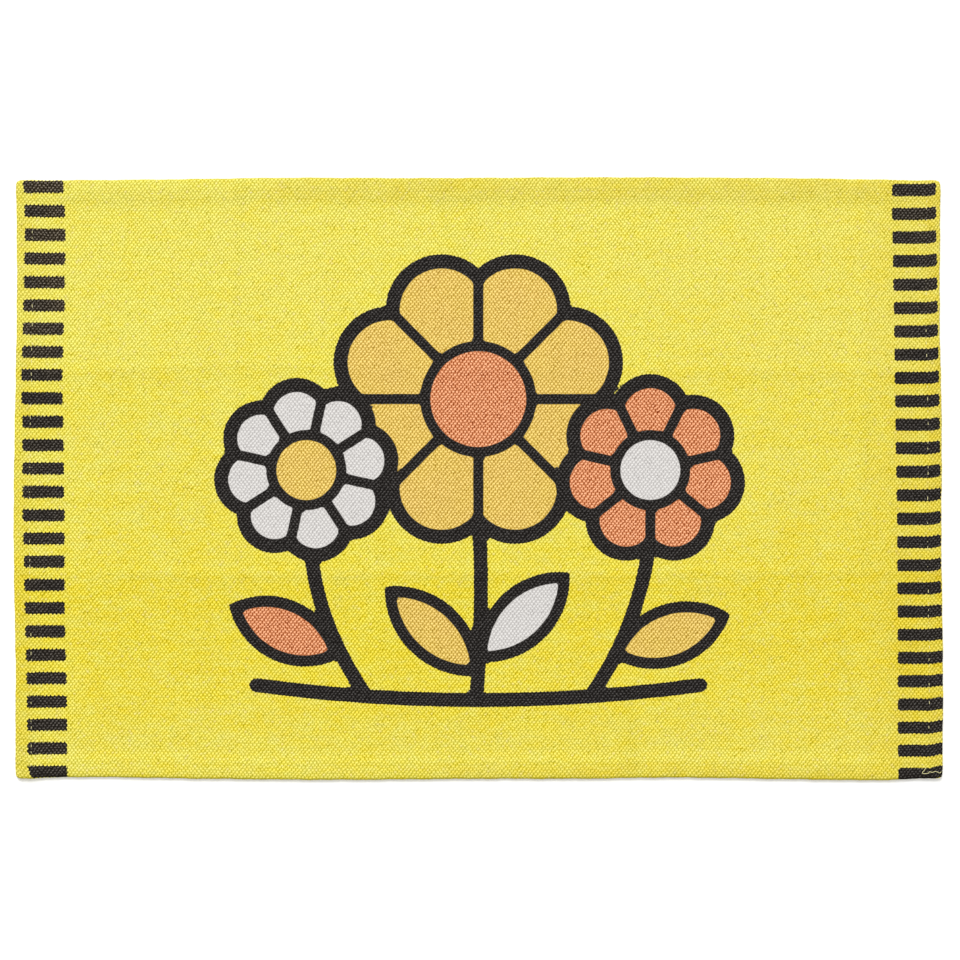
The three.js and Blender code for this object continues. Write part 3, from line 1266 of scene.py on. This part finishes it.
# %% Put the weave together
place = swayed(swayed(Field(taken, "Place"), SLOW_SWAY), QUICK_SWAY)
parts = node(weave, "SeparateXYZ", Vector=place)
warp = Field(parts, "X") * (1 / WARP_PITCH)
weft = Field(parts, "Y") * (1 / WEFT_PITCH)
rising = (warp + weft) * 0.5
falling = (warp - weft) * 0.5
rising_number = (rising + 0.5).maths("FLOOR")
falling_number = (falling + 0.5).maths("FLOOR")
random = Field(random_at(rising_number, falling_number), "Color")
dice = node(weave, "SeparateColor", Color=random)
off_rising = rising - rising_number + (Field(dice, "Red") - 0.5) * CROSSING_JITTER
off_falling = falling - falling_number + (Field(dice, "Green") - 0.5) * CROSSING_JITTER
leaning = cloud(place, **LEAN_PATCHES) + LEAN
one_way = cosine(off_rising)
bump = (one_way + (cosine(off_falling) - one_way) * leaning) * 0.5 + 0.5
bump = bump + cosine(off_rising - off_falling) * PICK_SHARE
bump = bump - cosine(off_rising + off_falling) * END_SHARE
feed(bump * Field(dice, "Blue").between(*YARN_SIZES), given.inputs["Height"])
feed(random, given.inputs["Crossing"])
end_yarn = Field(random_at((warp + 0.5).maths("FLOOR"), 0.0, seed=END_SEED), "Value")
pick_yarn = Field(random_at(0.0, (weft + 0.5).maths("FLOOR"), seed=PICK_SEED), "Value")
feed((end_yarn + pick_yarn) * 0.5, given.inputs["Yarn Tone"])
print("weave group nodes:", len(weave.nodes))

# %% [markdown]
# ## Ink edges
# Ink soaks down between the yarns and catches on their tops, so a printed edge is toothed at the
# size of the weave. A blurred edge would be simpler and look sprayed. Here each ink's distance
# is pushed in and out by the weave's height before it is cut at zero. The bars are worn more
# than the picture, and their teeth are longer. All the inks share this, so it is a group.

# %% The ink edge group
FINE_TOOTH = 0.5
WORN_TOOTH = 1.4
EDGE_BLUR = 0.45
BLEED = {"size": 14.0, "far": 0.4}

ink_edge, taken, given = new_group(
    "ink_edge",
    takes={"Distance": "Float", "Height": "Float", "Wear": "Float", "Place": "Vector"},
    gives={"Mask": "Float"},
)
tooth = Field(taken, "Wear").between(FINE_TOOTH, WORN_TOOTH)
toothed = Field(taken, "Distance") + (Field(taken, "Height") - 0.5) * tooth
toothed = toothed + cloud(Field(taken, "Place"), **BLEED)
feed(toothed.ramp(EDGE_BLUR, -EDGE_BLUR), given.inputs["Mask"])
print("ink edge group nodes:", len(ink_edge.nodes))

# %% [markdown]
# ## The printed canvas
# Each ink has two colours: a deep one in the gaps of the weave and a pale one on the crowns of the
# yarns. The deep colour is partly ink that pools in the gaps and partly painted shade. The pale
# one is partly undyed cotton that shows through and partly a painted highlight, the sheen of the
# yarns' tops. One flat colour would look like plastic. The yellow ground is printed too, thinly,
# so it is cloudy, paler towards the upper side and richer below the middle, with steps of painted
# shade at the two long folds. The black gathers in the gaps, so its pale crowns are small, and
# larger where the bars are worn.


# %% Colours of the print
LIGHT_ON_CLOTH = 1.31
SCREEN_CURVE = 2.2


def shown(*parts):
    """A colour by the screen values that it shows in this light, with 255 for white and more for
    a crown that outshines it. It is kept on the screen's curve, where equal steps look equal, and
    the material straightens it at the end."""
    # These are the numbers of the standard curve of screens, with its straight piece for blacks.
    linear = [p / 255 / 12.92 if p <= 10 else ((p / 255 + 0.055) / 1.055) ** 2.4 for p in parts]
    return (*[min(part / LIGHT_ON_CLOTH, 1) ** (1 / SCREEN_CURVE) for part in linear], 1)


# Besides each ink's own colour, deep colours carry painted shade in the weave's gaps, and crown
# colours carry a painted highlight on the yarns' tops.
UNDYED = {"deep": shown(196, 176, 142), "crown": shown(250, 238, 206)}
PALE_YELLOW = {"deep": shown(189, 182, 49), "crown": shown(275, 266, 146)}
RICH_YELLOW = {"deep": shown(186, 169, 1), "crown": shown(279, 259, 103)}
CREAM_FLECK = shown(262, 246, 176)
WORN_BLACK = {"deep": shown(34, 26, 14), "crown": shown(152, 142, 126)}
INKS = table(
    "name deep crown gather thin",
    ("black", shown(23, 20, 18), shown(98, 95, 93), 3.0, 0.0),
    ("amber", shown(168, 127, 40), shown(278, 241, 157), 1.0, 0.3),
    ("coral", shown(137, 50, 4), shown(288, 214, 168), 1.0, 0.0),
    ("white", shown(185, 181, 178), shown(248, 245, 241), 1.0, 0.0),
)
# Paleness up the rug. Its steps between 108 and 120 mm and between -105 and -93 mm, at the two
# long folds, are painted shade.
PALENESS_AND_FOLD_SHADE = table(
    "at pale",
    (-300, 0.74), (-262, 0.68), (-235, 0.50), (-200, 0.39), (-105, 0.33),
    (-93, 0.50), (-60, 0.57), (0, 0.69), (108, 0.70), (120, 0.83), (300, 0.90),
)
HEM_TONE = (0.955, 0.93, 0.85, 1)
WARM_TONE = (1.0, 0.975, 0.97, 1)
print("inks:", [ink["name"] for ink in INKS])

# %% [markdown]
# The material of the cloth starts with what the other steps read: the place on the flat cloth,
# the height of the weave there, and the chances of the crossing. Mixing is done in two helpers,
# because each colour below goes through it.

# %% Start the canvas material
CANVAS_ROUGHNESS = 0.92
# The Mix node's colour sockets go by number, because its other kinds share their names.
MIX_INPUTS = (0, 6, 7)
MIX_OUTPUT = 2
shader = new_material(cloth, "printed_canvas", CANVAS_ROUGHNESS)
tree = shader.id_data


def attribute(name, output="Fac"):
    """Reads a value that is kept on the cloth."""
    return Field(node(tree, "Attribute", {"attribute_name": name}), output)


def blend_colours(share, under, over, kind="MIX"):
    """Mixes two colours by a share."""
    mix = node(tree, "Mix", {"data_type": "RGBA", "blend_type": kind})
    for number, value in zip(MIX_INPUTS, (share, under, over)):
        feed(value, mix.inputs[number])
    return Field(mix, MIX_OUTPUT)


def blend_inks(share, under, over):
    """Mixes two inks, the deep colour and the crowns' colour of each."""
    return {part: blend_colours(share, under[part], over[part]) for part in ("deep", "crown")}


woven = attribute("woven", "Vector")
woven_parts = node(tree, "SeparateXYZ", Vector=woven)
across_cloth = Field(woven_parts, "X")
up_cloth = Field(woven_parts, "Y")
weaving = node(tree, "Group", {"node_tree": weave}, Place=woven)
relief = Field(weaving, "Height")
crossing = node(tree, "SeparateColor", Color=Field(weaving, "Crossing"))
print("the material reads:", [one.attribute_name for one in tree.nodes if one.type == "ATTRIBUTE"])

# %% [markdown]
# How pale the yellow is depends on the place up the rug and on clouds of three sizes. The place is
# read from a colour ramp, which is a table in a node. Its steps at the two long folds, paler above
# each and richer below, are painted shade. One noise alone would look like marble. The pale parts
# are more even than the rich ones, so the clouds swing less there.

# %% How pale the ground is
SMEAR = 2.0
BANKS = {"size": 90.0, "far": 0.25}
CLOUDS = {"size": 15.0, "far": 0.85, "detail": 3.0, "roughness": 0.6}
SPOTS = {"size": 4.0, "far": 0.6, "detail": 1.0}
RICH_SWING = 1.4
PALE_SWING = 0.7

low, high = PALENESS_AND_FOLD_SHADE[0]["at"], PALENESS_AND_FOLD_SHADE[-1]["at"]
pale_and_shade_ramp = node(tree, "ValToRGB", Fac=up_cloth.ramp(low, high, smooth=False))
stops = pale_and_shade_ramp.color_ramp.elements
while len(stops) < len(PALENESS_AND_FOLD_SHADE):
    stops.new(0.5)
for stop, entry in zip(stops, PALENESS_AND_FOLD_SHADE):
    stop.position = (entry["at"] - low) / (high - low)
    stop.color = (entry["pale"],) * 3 + (1,)
smeared = step(tree, "VectorMath", "MULTIPLY", woven, (1 / SMEAR, 1, 1))
ramped = Field(pale_and_shade_ramp, "Color")
clouds = cloud(smeared, **CLOUDS) + cloud(smeared, **SPOTS)
swing = ramped.between(RICH_SWING, PALE_SWING)
paleness_and_fold_shade = ramped + cloud(smeared, **BANKS) + clouds * swing
print("stops of the ramp:", len(stops))

# %% [markdown]
# How much of its pale colour a crown shows hangs on its height, on chance at each crossing and
# yarn, and on a fine grain, as the fluff of cotton gives. By height the colour is painted shade in
# the gaps and a painted highlight on the crowns. At a few chance crossings the gaps are painted
# darker still. The painted shade of the old folds, the lower seam and the lower edge takes some of
# the pale colour away.

# %% How much of each crown shows
CROWN_MEAN = 0.545
WEAVE_CONTRAST = 0.8
CROSSING_CHANCE = 0.08
YARN_CHANCE = 0.04
GRAIN = {"size": 0.8, "far": 0.66, "detail": 1.0}
PITS_FROM = 0.95
PIT_DEPTH = 1.1
PIT_POWER = 3

# Painted shade and highlight: the weave's height darkens the gaps and lightens the crowns.
crown_share = (relief - 0.5) * WEAVE_CONTRAST + CROWN_MEAN
crown_share = crown_share + (Field(crossing, "Red") - 0.5) * CROSSING_CHANCE
crown_share = crown_share + (Field(weaving, "Yarn Tone") - 0.5) * YARN_CHANCE
crown_share = crown_share + cloud(woven, **GRAIN)
low_down = relief.between(1, 0).maths("POWER", PIT_POWER)
pits = Field(crossing, "Green").ramp(PITS_FROM, 1.0) * low_down
# Painted shade of the folds, the lower seam and the lower edge, and the darker gaps at a few
# chance crossings.
crown_share = crown_share - attribute("fold_shade") - pits * PIT_DEPTH
crown_share = crown_share.ramp(0.0, 1.0, smooth=False)
print("canvas material nodes so far:", len(tree.nodes))

# %% [markdown]
# The ground runs from rich to pale yellow, with cream flecks of bare cotton, and the underside
# inside its hems is undyed. Warmer patches, more of them to the right, and the hems' own tone
# lie over it. They multiply the colour, as a thin dye would, instead of covering it.

# %% The colour of the ground
FLECKS_FROM = 0.9
FLECK_SHARE = 0.5
WARM_PATCHES = {"size": 12.0, "detail": 3.0, "roughness": 0.6}
WARM_SWING = 1.5
WARMER_RIGHT = 0.0004
TINT_PATCHES = {"size": 22.0, "far": 1.2}

ground = blend_inks(paleness_and_fold_shade, RICH_YELLOW, PALE_YELLOW)
fleck = Field(crossing, "Blue").ramp(FLECKS_FROM, 1.0) * FLECK_SHARE
ground["crown"] = blend_colours(fleck, ground["crown"], CREAM_FLECK)
ground = blend_inks(attribute("printed"), UNDYED, ground)
colour = blend_colours(crown_share, ground["deep"], ground["crown"])
patches = node(tree, "SeparateColor", Color=Field(noise(smeared, **WARM_PATCHES), "Color"))
warmth = (Field(patches, "Green") - 0.5) * WARM_SWING + 0.5
warmth = warmth + across_cloth * WARMER_RIGHT
colour = blend_colours(warmth, colour, WARM_TONE, "MULTIPLY")
tint = attribute("hem_tint")
tint = tint + tint * cloud(woven, **TINT_PATCHES)
colour = blend_colours(tint, colour, HEM_TONE, "MULTIPLY")
print("canvas material nodes with the ground:", len(tree.nodes))

# %% [markdown]
# The inks go on one after another, as from their screens. Each could be a material of its own,
# but then its edge would follow the grid's faces. As colours in one material the inks end where
# their distance is zero. The bars join the black, with rounded corners, and they are worn in
# patches, the upper ones most.

# %% Lay the inks on the ground
BAR_CORNER = 2.4
THIN_PATCHES = {"size": 48.0, "far": 0.5, "detail": 3.0}
PATCH_RANGE = (-0.5, 2.5)
UPPER_BARS = (95.0, 150.0)
WORN_RANGE = (0.3, 0.86)

wear = attribute("wear")
past_end = (attribute("bar_end") + BAR_CORNER).maths("MAXIMUM", 0)
past_side = (attribute("bar_side") + BAR_CORNER).maths("MAXIMUM", 0)
bar = (past_end * past_end + past_side * past_side).maths("SQRT") - BAR_CORNER
thinness = cloud(woven, **THIN_PATCHES) + 0.5
high_up = up_cloth.ramp(*UPPER_BARS)
worn_away = wear * thinness.between(*PATCH_RANGE) * high_up.between(*WORN_RANGE)
for ink in INKS:
    distance = attribute(ink["name"] + "_ink")
    if ink["name"] == "black":
        distance = distance.maths("MINIMUM", bar)
        showing, under = worn_away, WORN_BLACK
    else:
        showing, under = thinness * ink["thin"], RICH_YELLOW
    settings = {"node_tree": ink_edge}
    edge = node(tree, "Group", settings, Distance=distance, Height=relief, Wear=wear, Place=woven)
    share = crown_share.maths("POWER", ink["gather"])
    parts = blend_inks(showing, ink, under)
    ink_colour = blend_colours(share, parts["deep"], parts["crown"])
    colour = blend_colours(Field(edge, "Mask"), colour, ink_colour)
straight = Field(node(tree, "Gamma", Color=colour, Gamma=SCREEN_CURVE))
feed(straight, shader.inputs["Base Color"])
print("inks laid:", len(INKS))

# %% [markdown]
# Cotton canvas is matt. The weave's height and a little fuzz make a bump, so that the light from
# the upper side catches each yarn. Real relief this fine would take millions of faces.

# %% Finish the canvas material
BUMP_DEPTH = 0.55
FUZZ = {"size": 0.9, "far": 0.1}
CANVAS_SPECULAR = 0.05

shader.inputs["Specular IOR Level"].default_value = CANVAS_SPECULAR
fuzzy = relief + cloud(woven, **FUZZ)
bumps = node(tree, "Bump", Strength=1.0, Distance=BUMP_DEPTH * MM, Height=fuzzy)
feed(Field(bumps), shader.inputs["Normal"])
print("canvas material nodes:", len(tree.nodes))

# %% [markdown]
# The thread is pale cream cotton, smoother than the canvas, with a faint sheen. Its twist could
# be a pattern too, but the thread is too thin to show one.

# %% The thread's material
THREAD_CREAM = shown(252, 244, 178)
THREAD_ROUGHNESS = 0.7
THREAD_SHEEN = 0.1

cotton_shader = new_material(thread, "sewing_thread", THREAD_ROUGHNESS)
cotton_straight = (*[part ** SCREEN_CURVE for part in THREAD_CREAM[:3]], 1)
cotton_shader.inputs["Base Color"].default_value = cotton_straight
cotton_shader.inputs["Sheen Weight"].default_value = THREAD_SHEEN
print("thread colour:", np.round(cotton_straight, 2))

# %% [markdown]
# ## Into the frame
# Both pieces ride on the rug's one body. The cloth stands in for the packed slab, which is hidden.
# The thread could stand alone, but it belongs to the cloth, so it rides on the same body.

# %% Give the pieces their places
for piece, slot_name in ((cloth, "printed_canvas"), (thread, "sewing_thread")):
    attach(piece, "root")
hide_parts("rug")

# %% [markdown]
